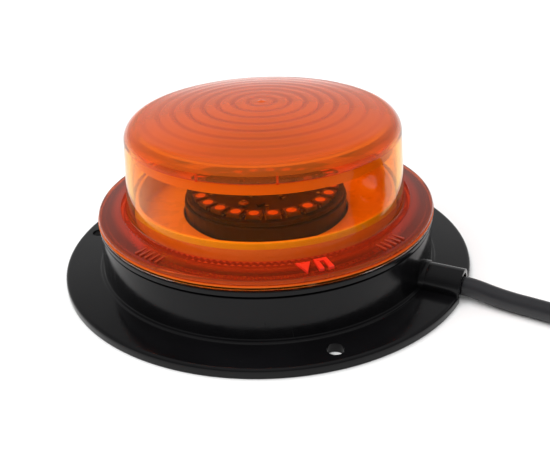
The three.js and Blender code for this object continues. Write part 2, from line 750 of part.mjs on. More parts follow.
function domeLens() {
  const lugs = [];
  for (let i = 0; i < LOCK_COUNT; i += 1) {
    const centre = FIRST_LOCK_AZIMUTH + (360 * i) / LOCK_COUNT;
    const start = centre - LUG_SPAN / 2;
    const end = centre + LUG_SPAN / 2;
    const root = SPIGOT_OUTER_RADIUS - BOOLEAN_OVERLAP;
    lugs.push(ringSegment(root, LUG_OUTER_RADIUS, SPIGOT_BOTTOM_Z, LUG_TOP_Z, start, end));
  }
  return combined(turned(lensOutline()), lugs, []);
}

function lensSeal() {
  const inner = SEAL_GROOVE_INNER_RADIUS + TOUCH_GAP;
  const outer = SEAL_GROOVE_OUTER_RADIUS - TOUCH_GAP;
  const bottom = RIM_TOP + TOUCH_GAP;
  const top = bottom + 1.5;
  const corner = 0.35;
  return turned([
    [inner + corner, bottom],
    [outer - corner, bottom],
    [outer, bottom + corner],
    [outer, top - corner],
    [outer - corner, top],
    [inner + corner, top],
    [inner, top - corner],
    [inner, bottom + corner],
  ]);
}

place('lens_seal', lensSeal(), sealRubber);
place('dome_lens', domeLens(), amberPlastic);

// ---------------------------------------------------------------- free supply lead
// It leaves the tunnel, drops to the surface and runs to a flat coil of three turns, held by a
// tie. Its end crosses over the coil and lies round the outside, where the cores are bare.
const LEAD_ROUTE = [
  [TUNNEL_MOUTH_X + TOUCH_GAP, 0, TUNNEL_BORE_Z],
  [82.5, 0, TUNNEL_BORE_Z],
  [86.5, -0.4, 4.35],
  [92, -1.1, 3.8],
  [98, -1.8, 3.55],
  [105, -2.4, 3.55],
  [113, -3.1, 3.55],
  [122, -3.9, 3.55],
  [132, -4.8, 3.6],
];

function cableCoil() {
  const inner = COIL_MEAN_RADIUS - COIL_HALF_WIDTH;
  const outer = COIL_MEAN_RADIUS + COIL_HALF_WIDTH;
  const ring = turned([
    [inner + 1, COIL_BOTTOM_Z],
    [outer - 1, COIL_BOTTOM_Z],
    [outer, COIL_BOTTOM_Z + 1],
    [outer, COIL_TOP_Z - 1],
    [outer - 1, COIL_TOP_Z],
    [inner + 1, COIL_TOP_Z],
    [inner, COIL_TOP_Z - 1],
    [inner, COIL_BOTTOM_Z + 1],
  ]);
  ring.translate(COIL_CENTRE_X, COIL_CENTRE_Y, 0);
  return ring;
}

function eased(value, from, to) {
  return THREE.MathUtils.smoothstep(value, from, to);
}

// The lead's end spirals out over the coil from its inner turn, then down to the surface.
const TAIL_START = 252;
const TAIL_END = 490;
const TAIL_INNER_RADIUS = 33;
const TAIL_OUTER_RADIUS = 54.7;
const TAIL_CROSSING_Z = 11.6;

function tailPoint(azimuth) {
  const spread = (TAIL_OUTER_RADIUS - TAIL_INNER_RADIUS) * eased(azimuth, 246, 416);
  const drop = (TAIL_CROSSING_Z - CABLE_RADIUS - 0.05) * eased(azimuth, 398, 442);
  const [x, y] = onCircle(TAIL_INNER_RADIUS + spread, azimuth);
  return [COIL_CENTRE_X + x, COIL_CENTRE_Y + y, TAIL_CROSSING_Z - drop];
}

function cableTail() {
  const route = [];
  for (let azimuth = TAIL_START; azimuth <= TAIL_END; azimuth += 7) {
    route.push(tailPoint(azimuth));
  }
  return tube(route, CABLE_RADIUS, 10, 24);
}

function coilTie() {
  const strap = 0.7;
  const width = 4.6;
  const innerLength = 2 * (COIL_HALF_WIDTH + TOUCH_GAP);
  const innerBottom = COIL_BOTTOM_Z - TOUCH_GAP;
  const innerHeight = COIL_TOP_Z + TOUCH_GAP - innerBottom;
  const middleZ = innerBottom + innerHeight / 2;
  const band = box(innerLength + 2 * strap, width, innerHeight + 2 * strap, 0, 0, middleZ);
  const opening = box(innerLength, width + 1, innerHeight, 0, 0, middleZ);
  const head = box(6, width + 1.6, 3, 4, 0, innerBottom + innerHeight + 1.8);
  const tie = combined(band, [head], [opening]);
  tie.translate(COIL_MEAN_RADIUS, 0, 0);
  tie.rotateZ(radians(150));
  tie.translate(COIL_CENTRE_X, COIL_CENTRE_Y, 0);
  return tie;
}

place('supply_cable', tube(LEAD_ROUTE, CABLE_RADIUS, 10, 8), cableJacket);
place('cable_coil', cableCoil(), cableJacket);
place('cable_tail', cableTail(), cableJacket);
place('coil_tie', coilTie(), blackInsulation);

export default beacon;
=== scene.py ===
# Looks for the low-profile amber LED beacon. Lengths are written in millimetres and turned into
# metres by the helpers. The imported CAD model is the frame, and every piece rides on one of its
# bodies.
import math

import bmesh
import bpy
from mathutils import Matrix, Vector


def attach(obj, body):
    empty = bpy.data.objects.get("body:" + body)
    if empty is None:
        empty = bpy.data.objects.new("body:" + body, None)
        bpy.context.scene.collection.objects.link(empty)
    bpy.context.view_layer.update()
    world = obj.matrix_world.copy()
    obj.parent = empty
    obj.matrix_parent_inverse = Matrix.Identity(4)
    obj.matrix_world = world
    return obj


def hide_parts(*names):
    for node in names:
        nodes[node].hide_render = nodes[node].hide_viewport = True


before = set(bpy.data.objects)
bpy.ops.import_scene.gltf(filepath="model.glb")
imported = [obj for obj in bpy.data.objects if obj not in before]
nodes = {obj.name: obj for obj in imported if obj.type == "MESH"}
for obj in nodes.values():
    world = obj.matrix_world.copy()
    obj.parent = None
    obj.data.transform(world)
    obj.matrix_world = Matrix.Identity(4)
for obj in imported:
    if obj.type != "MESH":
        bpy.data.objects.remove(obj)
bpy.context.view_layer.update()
scene = bpy.context.scene
MM = 0.001
TAU = 2 * math.pi


# ------------------------------------------------------------------ camera
CAMERA_PLACE = (126.3, -228.8, 148.7)
CAMERA_TURN, CAMERA_DROP, CAMERA_ROLL = 28.2, 27.9, 2.13
CAMERA_LENS = 48.1


def add_camera():
    """Looks down at the front: turned about Z from +Y, tilted down, then rolled, in degrees."""
    turn, drop, roll = (math.radians(angle) for angle in (CAMERA_TURN, CAMERA_DROP, CAMERA_ROLL))
    level_right = Vector((math.cos(turn), math.sin(turn), 0))
    forward = Vector((
        -math.sin(turn) * math.cos(drop), math.cos(turn) * math.cos(drop), -math.sin(drop),
    ))
    level_up = level_right.cross(forward)
    right = math.cos(roll) * level_right - math.sin(roll) * level_up
    up = math.sin(roll) * level_right + math.cos(roll) * level_up
    camera = bpy.data.objects.new("camera", bpy.data.cameras.new("camera"))
    camera.data.sensor_width = 36
    camera.data.lens = CAMERA_LENS
    camera.data.clip_start = 0.01
    axes = Matrix((right, up, -forward)).transposed().to_4x4()
    camera.matrix_world = Matrix.Translation(Vector(CAMERA_PLACE) * MM) @ axes
    scene.collection.objects.link(camera)
    scene.camera = camera


add_camera()


# ------------------------------------------------------------------ materials
# Scales of the noises that every moulded surface shares, in cells to the metre
DRIFT_SCALE, GLOSS_SCALE, WAVE_SCALE = 35.0, 160.0, 45.0


class Shader:
    """A node material built a step at a time."""

    def __init__(self, name):
        self.material = bpy.data.materials.new(name)
        self.material.use_nodes = True
        self.tree = self.material.node_tree
        self.principled = self.tree.nodes["Principled BSDF"]
        self.output = self.tree.nodes["Material Output"]
        self.place = self.add("ShaderNodeTexCoord").outputs["Object"]

    def add(self, kind, **settings):
        node = self.tree.nodes.new(kind)
        for key, value in settings.items():
            setattr(node, key, value)
        return node

    def link(self, source, target):
        self.tree.links.new(source, target)

    def drive(self, socket, source):
        """Links a value to the surface shader's own socket of that name."""
        self.link(source, self.principled.inputs[socket])

    def set(self, **values):
        for key, value in values.items():
            self.principled.inputs[key.replace("_", " ")].default_value = value
        return self

    def noise(self, scale, detail=3.0, stretch=(1, 1, 1)):
        mapping = self.add("ShaderNodeMapping")
        mapping.inputs["Scale"].default_value = stretch
        self.link(self.place, mapping.inputs["Vector"])
        noise = self.add("ShaderNodeTexNoise")
        noise.inputs["Scale"].default_value = scale
        noise.inputs["Detail"].default_value = detail
        self.link(mapping.outputs["Vector"], noise.inputs["Vector"])
        return noise.outputs["Fac"]

    def ranged(self, value, low, high, source_low=0.35, source_high=0.65):
        node = self.add("ShaderNodeMapRange")
        node.inputs["From Min"].default_value = source_low
        node.inputs["From Max"].default_value = source_high
        node.inputs["To Min"].default_value = low
        node.inputs["To Max"].default_value = high
        self.link(value, node.inputs["Value"])
        return node.outputs["Result"]

    def math(self, operation, a, b=0.0):
        node = self.add("ShaderNodeMath", operation=operation)
        for socket, value in zip(node.inputs, (a, b)):
            if isinstance(value, (int, float)):
                socket.default_value = value
            else:
                self.link(value, socket)
        return node.outputs["Value"]

    def mixed(self, factor, a, b):
        node = self.add("ShaderNodeMix", data_type="RGBA")
        self.link(factor, node.inputs["Factor"])
        for socket, value in ((node.inputs[6], a), (node.inputs[7], b)):
            if isinstance(value, tuple):
                socket.default_value = (*value, 1)
            else:
                self.link(value, socket)
        return node.outputs[2]

    def bump(self, height, distance, strength=1.0, under=None):
        node = self.add("ShaderNodeBump")
        node.inputs["Strength"].default_value = strength
        node.inputs["Distance"].default_value = distance * MM
        self.link(height, node.inputs["Height"])
        if under is not None:
            self.link(under, node.inputs["Normal"])
        return node.outputs["Normal"]

    def lets_lamps_through(self, tint):
        """Lamps light what is behind the plastic, tinted by it."""
        path = self.add("ShaderNodeLightPath")
        clear = self.add("ShaderNodeBsdfTransparent")
        clear.inputs["Color"].default_value = (*tint, 1)
        mix = self.add("ShaderNodeMixShader")
        self.link(path.outputs["Is Shadow Ray"], mix.inputs[0])
        self.link(self.principled.outputs[0], mix.inputs[1])
        self.link(clear.outputs[0], mix.inputs[2])
        self.link(mix.outputs[0], self.output.inputs["Surface"])

    def radius(self):
        """Distance from the beacon's axis, in millimetres."""
        apart = self.add("ShaderNodeSeparateXYZ")
        self.link(self.place, apart.inputs[0])
        squares = [self.math("MULTIPLY", apart.outputs[i], apart.outputs[i]) for i in (0, 1)]
        root = self.math("SQRT", self.math("ADD", *squares))
        return self.math("MULTIPLY", root, 1000.0)


def moulded(name, colour, roughness, grain=0.02, grain_scale=900.0, spread=0.12, wander=0.05):
    """Moulded plastic or rubber: slight colour and gloss drift, and a fine surface grain."""
    shader = Shader(name)
    drift = shader.ranged(shader.noise(DRIFT_SCALE), 0, 1)
    deeper = tuple(c * (1 - spread) for c in colour)
    lighter = tuple(min(1.0, c * (1 + spread)) for c in colour)
    shader.drive("Base Color", shader.mixed(drift, deeper, lighter))
    gloss = shader.noise(GLOSS_SCALE, 4.0)
    shader.drive("Roughness", shader.ranged(gloss, roughness - wander, roughness + wander))
    fine = shader.bump(shader.noise(grain_scale, 2.0), grain)
    wave = shader.bump(shader.noise(WAVE_SCALE, 1.0), grain * 2, 0.5, under=fine)
    shader.drive("Normal", wave)
    return shader


def metal(name, colour, roughness, streak=(1, 1, 8)):
    """Plated or bare metal with fine streaks."""
    shader = Shader(name)
    shader.set(Metallic=1.0)
    lines = shader.noise(700.0, 3.0, streak)
    darker = tuple(c * 0.8 for c in colour)
    shader.drive("Base Color", shader.mixed(shader.ranged(lines, 0, 1), darker, colour))
    shader.drive("Roughness", shader.ranged(lines, roughness, roughness + 0.15))
    shader.drive("Normal", shader.bump(lines, 0.01))
    return shader


def glossy_black():
    """High-gloss black moulding with faint rub marks from handling."""
    shader = moulded("glossy_black_abs", (0.0036, 0.0035, 0.004), 0.15, 0.012, 500.0, 0.25, 0.03)
    rubs = shader.noise(220.0, 5.0, (1, 9, 1))
    marks = shader.ranged(rubs, 0.0, 1.0, 0.66, 0.72)
    base = shader.principled.inputs["Roughness"].links[0].from_socket
    shader.drive("Roughness", shader.math("ADD", base, shader.math("MULTIPLY", marks, 0.12)))
    shader.set(IOR=1.5, Specular_IOR_Level=0.2)
    return shader.material


# The prism rings under the crown: the first one's outer edge, and the step to the next
FIRST_RING, RING_PITCH = 4.2, 5.57


def amber(name, colour, clearness, gloss, sheen, lamp_share, grain=0.02, grain_scale=60.0):
    """Amber polycarbonate. clearness is the share of light that passes through, and the rest is
    scattered in the plastic; lamp_share is how much lamplight crosses one face."""
    shader = Shader(name)
    shader.set(Base_Color=(*colour, 1), Transmission_Weight=clearness, IOR=1.5)
    shader.set(Specular_Tint=(sheen, 0.85 * sheen, 0.6 * sheen, 1), Specular_IOR_Level=0.5 * sheen)
    shader.drive("Roughness", shader.ranged(shader.noise(120.0, 3.0), *gloss))
    shader.drive("Normal", shader.bump(shader.noise(grain_scale, 1.5), grain))
    shader.lets_lamps_through(tuple(lamp_share * math.sqrt(c) for c in colour))
    return shader


def crown_amber():
    """The crown's outer face, with painted shade: deeper circles painted in its colour stand for
    the prism rings under it seen through the plastic, and fade towards the edge."""
    # The deeper circles are painted shade for the prism rings seen through the crown
    plain, deep = (0.67, 0.12, 0.01), (0.34, 0.04, 0.003)
    shader = amber("crown_amber", plain, 0.5, gloss=(0.06, 0.12), sheen=0.48, lamp_share=0.75)
    radius = shader.radius()
    shifted = shader.math("SUBTRACT", radius, FIRST_RING + 0.9)
    wave = shader.math("COSINE", shader.math("MULTIPLY", shifted, TAU / RING_PITCH))
    edge = shader.ranged(wave, 0.0, 1.0, 0.1, 1.0)
    inside = shader.ranged(radius, 0.56, 0.2, 28.0, 42.0)
    painted_ring_shade = shader.math("MULTIPLY", edge, inside)
    shader.drive("Base Color", shader.mixed(painted_ring_shade, plain, deep))
    return shader.material


def skirt_amber():
    """The skirt is deep red next to the wall, browner further out, and orange at the lip."""
    red, brown, orange = (0.84, 0.06, 0.012), (0.4, 0.04, 0.012), (0.8, 0.11, 0.015)
    shader = amber("skirt_amber", red, 0.72, gloss=(0.04, 0.09), sheen=0.45, lamp_share=0.8)
    radius = shader.radius()
    inner = shader.mixed(shader.ranged(radius, 0.0, 1.0, 57.6, 60.0), red, brown)
    colour = shader.mixed(shader.ranged(radius, 0.0, 1.0, 63.6, 64.3), inner, orange)
    shader.drive("Base Color", colour)
    return shader.material


def circuit_board(name, mask, copper):
    """Solder mask over copper: faint tracks show as slightly lighter, raised lines."""
    shader = Shader(name)
    brick = shader.add("ShaderNodeTexBrick")
    brick.inputs["Scale"].default_value = 60.0
    brick.inputs["Mortar Size"].default_value = 0.05
    for socket, level in (("Color1", 1), ("Color2", 0.8), ("Mortar", 0)):
        brick.inputs[socket].default_value = (level, level, level, 1)
    shader.link(shader.place, brick.inputs["Vector"])
    shader.drive("Base Color", shader.mixed(brick.outputs["Color"], copper, mask))
    shader.drive("Roughness", shader.ranged(shader.noise(400.0), 0.28, 0.42))
    shader.drive("Normal", shader.bump(brick.outputs["Color"], 0.03))
    return shader.material


def phosphor():
    """The LED's emitter: cast amber-yellow phosphor, unlit."""
    shader = moulded("led_phosphor", (0.95, 0.6, 0.12), 0.3, 0.03, 1500.0, 0.08)
    shader.set(Subsurface_Weight=0.2, Subsurface_Radius=(0.001, 0.0006, 0.0002), Coat_Weight=0.6)
    return shader.material


BLACK = glossy_black()
# Each amber: name, colour, clearness, roughness from and to, sheen and the share of lamplight
AMBER_CLEAR = amber("clear_amber", (0.95, 0.42, 0.018), 1.0, (0.015, 0.05), 0.15, 1.0).material
AMBER_CROWN = crown_amber()
AMBER_PRISM = amber(
    "prism_amber", (0.96, 0.3, 0.03), 0.55, (0.3, 0.42), 0.3, 0.8, grain=0.05, grain_scale=700.0
).material
# A yellower, clear amber round the foot of the wall: painted light for the bright ring there
AMBER_LIGHT_FOOT = amber("painted_light_foot", (1.0, 0.78, 0.1), 1.0, (0.015, 0.05), 0.15, 1.0).material
AMBER_SHOULDER = amber("shoulder_amber", (0.8, 0.16, 0.018), 0.8, (0.03, 0.07), 0.3, 0.9).material
AMBER_SKIRT = skirt_amber()
# A lighter, cloudier amber on the lip's bevel: a painted highlight along the lip
AMBER_LIP_HIGHLIGHT = amber("painted_highlight_lip", (0.9, 0.18, 0.02), 0.4, (0.06, 0.12), 0.4, 0.8).material
# A pale frosted amber on the hanging rim: painted light for a bright stripe round the inside of
# the wall
AMBER_LIGHT_BAND = amber(
    "painted_light_band", (0.97, 0.74, 0.3), 0.1, (0.3, 0.4), 0.3, 0.6, grain=0.04, grain_scale=500.0
).material
# Each moulding: name, colour, roughness, depth of the grain, its scale, the colour's spread and
# the wander of the gloss
JACKET = moulded("pvc_jacket", (0.011, 0.011, 0.013), 0.38, 0.05, 700.0, 0.2, 0.06).material
SATIN_BLACK = moulded("satin_black_plate", (0.02, 0.02, 0.022), 0.42, 0.06, 600.0, 0.2).material
WHITE = moulded("white_reflector", (0.88, 0.87, 0.82), 0.3, 0.02, 500.0, 0.03).material
ANODISED = moulded("black_anodised", (0.009, 0.008, 0.009), 0.36, 0.03, 1200.0, 0.2).material
RUBBER = moulded("seal_rubber", (0.016, 0.016, 0.016), 0.62, 0.05, 900.0, 0.2).material
LED_WHITE = moulded("led_package", (0.17, 0.145, 0.1), 0.34, 0.01, 1800.0, 0.04).material
EPOXY = moulded("chip_epoxy", (0.022, 0.022, 0.024), 0.45, 0.04, 2400.0, 0.2).material
NYLON = moulded("natural_nylon", (0.74, 0.72, 0.64), 0.36, 0.02, 900.0, 0.06).material
NYLON_BLACK = moulded("black_nylon", (0.014, 0.014, 0.015), 0.33, 0.03, 900.0, 0.2).material
NYLON_GREEN = moulded("green_nylon", (0.05, 0.3, 0.11), 0.36, 0.02, 900.0, 0.1).material
FERRITE = moulded("ferrite", (0.05, 0.05, 0.052), 0.6, 0.08, 1400.0, 0.25).material
RED_PVC = moulded("red_insulation", (0.5, 0.02, 0.012), 0.3, 0.02, 900.0, 0.1).material
BLACK_PVC = moulded("black_insulation", (0.014, 0.014, 0.015), 0.3, 0.02, 900.0, 0.2).material
RIB_RED = moulded("rib_red", (0.34, 0.035, 0.012), 0.25, 0.01, 900.0, 0.1).material
RED_MARK = moulded("marker_red", (0.8, 0.03, 0.012), 0.3, 0.01, 900.0, 0.1).material
ZINC = metal("zinc_plate", (0.62, 0.63, 0.64), 0.2).material
TIN = metal("tinned_copper", (0.72, 0.7, 0.66), 0.24).material
CAN = metal("capacitor_can", (0.66, 0.67, 0.68), 0.2, (1, 1, 20)).material
BOARD_BLACK = circuit_board("black_board", (0.012, 0.013, 0.012), (0.03, 0.03, 0.026))
BOARD_GREEN = circuit_board("green_board", (0.02, 0.12, 0.05), (0.05, 0.2, 0.08))
PHOSPHOR = phosphor()


# ------------------------------------------------------------------ mesh helpers
def arc(centre_r, centre_z, radius, start, end, steps):
    angles = [math.radians(start + (end - start) * i / steps) for i in range(steps + 1)]
    return [(centre_r + radius * math.cos(a), centre_z + radius * math.sin(a)) for a in angles]


def polar(radius, azimuth, z=0.0):
    return (radius * math.cos(math.radians(azimuth)), radius * math.sin(math.radians(azimuth)), z)


def eased(value, low, high):
    t = min(max((value - low) / (high - low), 0.0), 1.0)
    return t * t * (3 - 2 * t)


# A fillet takes up no more than this share of the edges that it joins
FILLET_REACH = 0.45


def filleted(outline, radii, steps=4):
    """A closed outline with each corner rounded by its own radius."""
    rounded = []
    for i, corner in enumerate(outline):
        here = Vector(corner)
        before = Vector(outline[i - 1]) - here
        after = Vector(outline[(i + 1) % len(outline)]) - here
        radius = radii[i] if isinstance(radii, (list, tuple)) else radii
        if radius <= 0:
            rounded.append(corner)
            continue
        reach = min(radius, before.length * FILLET_REACH, after.length * FILLET_REACH)
        first, last = here + before.normalized() * reach, here + after.normalized() * reach
        for k in range(steps + 1):
            t = k / steps
            point = (1 - t) ** 2 * first + 2 * t * (1 - t) * here + t * t * last
            rounded.append((point.x, point.y))
    return rounded


def finish_mesh(obj, sharp=32.0):
    mesh = obj.data
    for polygon in mesh.polygons:
        polygon.use_smooth = True
    mesh.set_sharp_from_angle(angle=math.radians(sharp))
    return obj


def new_object(name, verts, faces, materials, face_material=None):
    mesh = bpy.data.meshes.new(name)
    mesh.from_pydata([tuple(c * MM for c in v) for v in verts], [], faces)
    mesh.validate()
    for material in materials:
        mesh.materials.append(material)
    if face_material:
        for polygon, index in zip(mesh.polygons, face_material):
            polygon.material_index = index
    build = bmesh.new()
    build.from_mesh(mesh)
    bmesh.ops.recalc_face_normals(build, faces=build.faces)
    build.to_mesh(mesh)
    build.free()
    obj = bpy.data.objects.new(name, mesh)
    scene.collection.objects.link(obj)
    return obj


def lathe(name, outline, segments, materials, closed=True, lift=None, face_slot=None):
    """Turns a (radius, z) outline about Z. An open outline starts and ends on the axis. lift
    raises single points, and face_slot picks the material of each band of faces."""
    verts, rings, faces, slots = [], [], [], []
    for index, (r, z) in enumerate(outline):
        if r < 1e-6:
            rings.append([len(verts)])
            verts.append((0, 0, z))
            continue
        ring = []
        for s in range(segments):
            raised = lift(index, s) if lift else 0.0
            ring.append(len(verts))
            verts.append(polar(r, 360 * s / segments, z + raised))
        rings.append(ring)
    for i in range(len(outline) if closed else len(outline) - 1):
        a, b = rings[i], rings[(i + 1) % len(rings)]
        slot = face_slot(i) if face_slot else 0
        for s in range(segments):
            t = (s + 1) % segments
            if len(a) == 1 and len(b) == 1:
                continue
            if len(a) == 1:
                faces.append((a[0], b[s], b[t]))
            elif len(b) == 1:
                faces.append((a[s], b[0], a[t]))
            else:
                faces.append((a[s], b[s], b[t], a[t]))
            slots.append(slot)
    return new_object(name, verts, faces, materials, slots)


def prism(name, outline, low, high, materials, frame_of=None):
    """A straight prism: an (a, b) outline drawn from low to high, placed by frame_of(a, b, c)."""
    put = frame_of or (lambda a, b, c: (a, b, c))
    count = len(outline)
    verts = [put(a, b, low) for a, b in outline] + [put(a, b, high) for a, b in outline]
    faces = [(i, (i + 1) % count, (i + 1) % count + count, i + count) for i in range(count)]
    faces += [tuple(range(count))[::-1], tuple(range(count, 2 * count))]
    return new_object(name, verts, faces, materials)


def wedge(name, inner, outer, low, high, start, end, materials, steps=12):
    """A block of a ring between two azimuths."""
    azimuths = [start + (end - start) * i / steps for i in range(steps + 1)]
    outline = [polar(outer, a)[:2] for a in azimuths]
    outline += [polar(inner, a)[:2] for a in azimuths[::-1]]
    return prism(name, outline, low, high, materials)


def post(name, radius, low, high, x, y, materials, sides=32):
    angles = [TAU * i / sides for i in range(sides)]
    outline = [(x + radius * math.cos(a), y + radius * math.sin(a)) for a in angles]
    return prism(name, outline, low, high, materials)


def apply_modifiers(obj):
    graph = bpy.context.evaluated_depsgraph_get()
    baked = bpy.data.meshes.new_from_object(obj.evaluated_get(graph))
    obj.modifiers.clear()
    obj.data = baked


def carve(obj, pieces, operation):
    """Joins pieces to obj or cuts them from it, then drops them."""
    for piece in pieces:
        modifier = obj.modifiers.new(piece.name, "BOOLEAN")
        modifier.operation = operation
        modifier.solver = "EXACT"
        modifier.object = piece
    apply_modifiers(obj)
    for piece in pieces:
        bpy.data.objects.remove(piece)


def joined(name, pieces):
    """One object from several loose pieces, with their materials kept."""
    build = bmesh.new()
    materials = []
    for piece in pieces:
        start = len(build.faces)
        build.from_mesh(piece.data)
        build.faces.ensure_lookup_table()
        slots = []
        for material in piece.data.materials:
            if material not in materials:
                materials.append(material)
            slots.append(materials.index(material))
        for face in build.faces[start:]:
            face.material_index = slots[face.material_index]
        bpy.data.objects.remove(piece)
    mesh = bpy.data.meshes.new(name)
    build.to_mesh(mesh)
    build.free()
    for material in materials:
        mesh.materials.append(material)
    obj = bpy.data.objects.new(name, mesh)
    scene.collection.objects.link(obj)
    return obj


def bevelled(obj, width, segments=2):
    modifier = obj.modifiers.new("edge_break", "BEVEL")
    modifier.width = width * MM
    modifier.segments = segments
    modifier.limit_method = "ANGLE"
    modifier.angle_limit = math.radians(40)
    return obj


def tube_curve(name, points, radius, material):
    curve = bpy.data.curves.new(name, "CURVE")
    curve.dimensions = "3D"
    curve.bevel_depth = radius * MM
    curve.bevel_resolution = 5
    curve.use_fill_caps = True
    spline = curve.splines.new("POLY")
    spline.points.add(len(points) - 1)
    for point, place in zip(spline.points, points):
        point.co = (*(c * MM for c in place), 1)
    spline.use_smooth = True
    curve.materials.append(material)
    obj = bpy.data.objects.new(name, curve)
    scene.collection.objects.link(obj)
    return obj


def smooth_path(points, per_span=5):
    """Points along a smooth curve through the given ones."""
    path = []
    for i in range(len(points) - 1):
        p0, p1 = Vector(points[max(i - 1, 0)]), Vector(points[i])
        p2, p3 = Vector(points[i + 1]), Vector(points[min(i + 2, len(points) - 1)])
        for k in range(per_span):
            t = k / per_span
            place = 0.5 * (
                2 * p1 + (p2 - p0) * t + (2 * p0 - 5 * p1 + 4 * p2 - p3) * t * t
                + (3 * p1 - 3 * p2 + p3 - p0) * t ** 3
            )
            path.append(tuple(place))
    path.append(tuple(points[-1]))
    return path


# ------------------------------------------------------------------ supply lead
LEAD_ROUTE = [
    (79.9, 0, 4.7), (82.5, 0, 4.7), (86.5, -0.4, 4.35), (92, -1.1, 3.8), (98, -1.8, 3.55),
    (105, -2.4, 3.55), (113, -3.1, 3.55), (122, -3.9, 3.55), (132, -4.8, 3.6), (141, -5.4, 3.9),
    (150, -5.85, 4.35), (157, -6, 4.55),
]
COIL_X, COIL_Y, COIL_Z = 162, 41, 4.55
COIL_RADIUS, COIL_PITCH = 47, 7
# The coil's last stretch: how far it lifts to cross the turns, goes outwards, and sinks again
CROSSING_LIFT, CROSSING_REACH, CROSSING_DROP = 7.05, 21.7, 8.05
LEAD_RADIUS, CORE_RADIUS, STRAND_RADIUS = 3.5, 1.15, 0.62
LEAD_END_AZIMUTH, CORE_END_AZIMUTH = 1180, 1208
CORE_STEPS = 12


def coil_point(azimuth):
    """The coil's three turns lie side by side; its end crosses over them and lies outside."""
    steps_inwards = eased(azimuth, 210, 270) + eased(azimuth, 570, 630)
    radius = COIL_RADIUS - COIL_PITCH * steps_inwards
    radius += CROSSING_REACH * eased(azimuth, 966, 1136)
    z = COIL_Z + CROSSING_LIFT * eased(azimuth, 876, 960)
    z -= CROSSING_DROP * eased(azimuth, 1118, 1162)
    x, y, _ = polar(radius, azimuth)
    return (COIL_X + x, COIL_Y + y, z)


def lead_path():
    coarse = LEAD_ROUTE + [coil_point(a) for a in range(-90, LEAD_END_AZIMUTH + 1, 10)]
    return smooth_path(coarse, 3)


def core(name, side, material):
    """A bare-ended core that leaves the jacket's end and settles on the surface."""
    places = []
    for i in range(CORE_STEPS + 1):
        share = i / CORE_STEPS
        reach = CORE_END_AZIMUTH - LEAD_END_AZIMUTH - 3
        azimuth = LEAD_END_AZIMUTH - 2 + reach * i / CORE_STEPS
        x, y, z = coil_point(azimuth)
        out = Vector(polar(1, azimuth)) * side * (1.25 + 0.5 * math.sin(share * math.pi))
        places.append((x + out.x, y + out.y, z - 1.7 * eased(i, 1, 8)))
    insulation = tube_curve(name, smooth_path(places[:CORE_STEPS - 1], 3), CORE_RADIUS, material)
    strands = tube_curve(
        name + "_strands", smooth_path(places[CORE_STEPS - 3:], 3), STRAND_RADIUS, TIN
    )
    return insulation, strands


lead_points = lead_path()
lead = tube_curve("supply_lead", lead_points, LEAD_RADIUS, JACKET)
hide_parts("supply_cable", "cable_coil", "cable_tail")
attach(lead, "base")
CORES = ((1, "tail_core_red", RED_PVC), (-1, "tail_core_black", BLACK_PVC))
for side, core_name, insulation_material in CORES:
    for part in core(core_name, side, insulation_material):
        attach(part, "base")


# ------------------------------------------------------------------ base housing
HOUSING_SEGMENTS = 240
PILOT_RADIUS = 1.3
BOLT_CIRCLE_RADIUS, BOLT_HOLE_RADIUS = 73.5, 3.0
BOLT_AZIMUTHS = (-45, 75, 195)
POST_AZIMUTHS = (60, 180, 300)
LUG_AZIMUTHS = (-45, 75, 195)


def housing_body():
    """The flange, the drum with its rim groove, and the deck inside, as (radius, z, fillet)."""
    corners = [
        (61.6, 0, 0.2), (80, 0, 0.3), (80, 3.4, 1.4),
        (66.7, 3.4, 0.15), (66.5, 4.1, 0.45), (65.25, 4.2, 0.3),
        (64.1, 19.5, 0.3), (63.2, 19.5, 0.1), (63.2, 20.4, 0.1), (64.6, 20.4, 0.15),
        (64.6, 22.3, 0.5), (61.5, 22.3, 0.3), (61.5, 17, 0.2),
        (34, 17, 0.3), (34, 15, 0.3), (60.2, 15, 0.3), (60.2, 3.2, 0.2), (61.6, 3.2, 0.2),
    ]
    outline = filleted([(r, z) for r, z, _ in corners], [fillet for _, _, fillet in corners], 5)
    return lathe("base_housing_shell", outline, HOUSING_SEGMENTS, [BLACK])


def along_x(y, z, x):
    return (x, y, z)


def round_topped(half, spring, foot):
    """A (y, z) outline with upright sides from foot and a half circle on top."""
    angles = [math.pi * i / 32 for i in range(33)]
    arch = [(half * math.cos(a), spring + half * math.sin(a)) for a in angles]
    return [(-half, foot), (half, foot)] + arch


def housing_hood(name, half, crest, start, end):
    """A round-topped tunnel over the lead, from x = start to x = end."""
    hood = prism(name, round_topped(half, crest - half, 0.6), start, end, [BLACK], along_x)
    bevelled(hood, 0.35, 3)
    apply_modifiers(hood)
    return hood


def lead_channel():
    """The way through the tunnel for the lead, 9.4 mm wide and open below."""
    return prism("channel", round_topped(4.7, 4.7, -1), 48, 85, [BLACK], along_x)


def lock_ledges():
    """Three ledges that hold the lens's lugs down, each with a stop at its end."""
    blocks = []
    for centre in LUG_AZIMUTHS:
        start, end = centre - 12, centre + 10.5
        blocks.append(wedge("ledge", 56.2, 61.9, 21.2, 22.28, start, end, [BLACK], 16))
        start, end = centre - 13.8, centre - 9.7
        blocks.append(wedge("stop", 56.8, 61.9, 16.6, 21.6, start, end, [BLACK], 5))
    return blocks


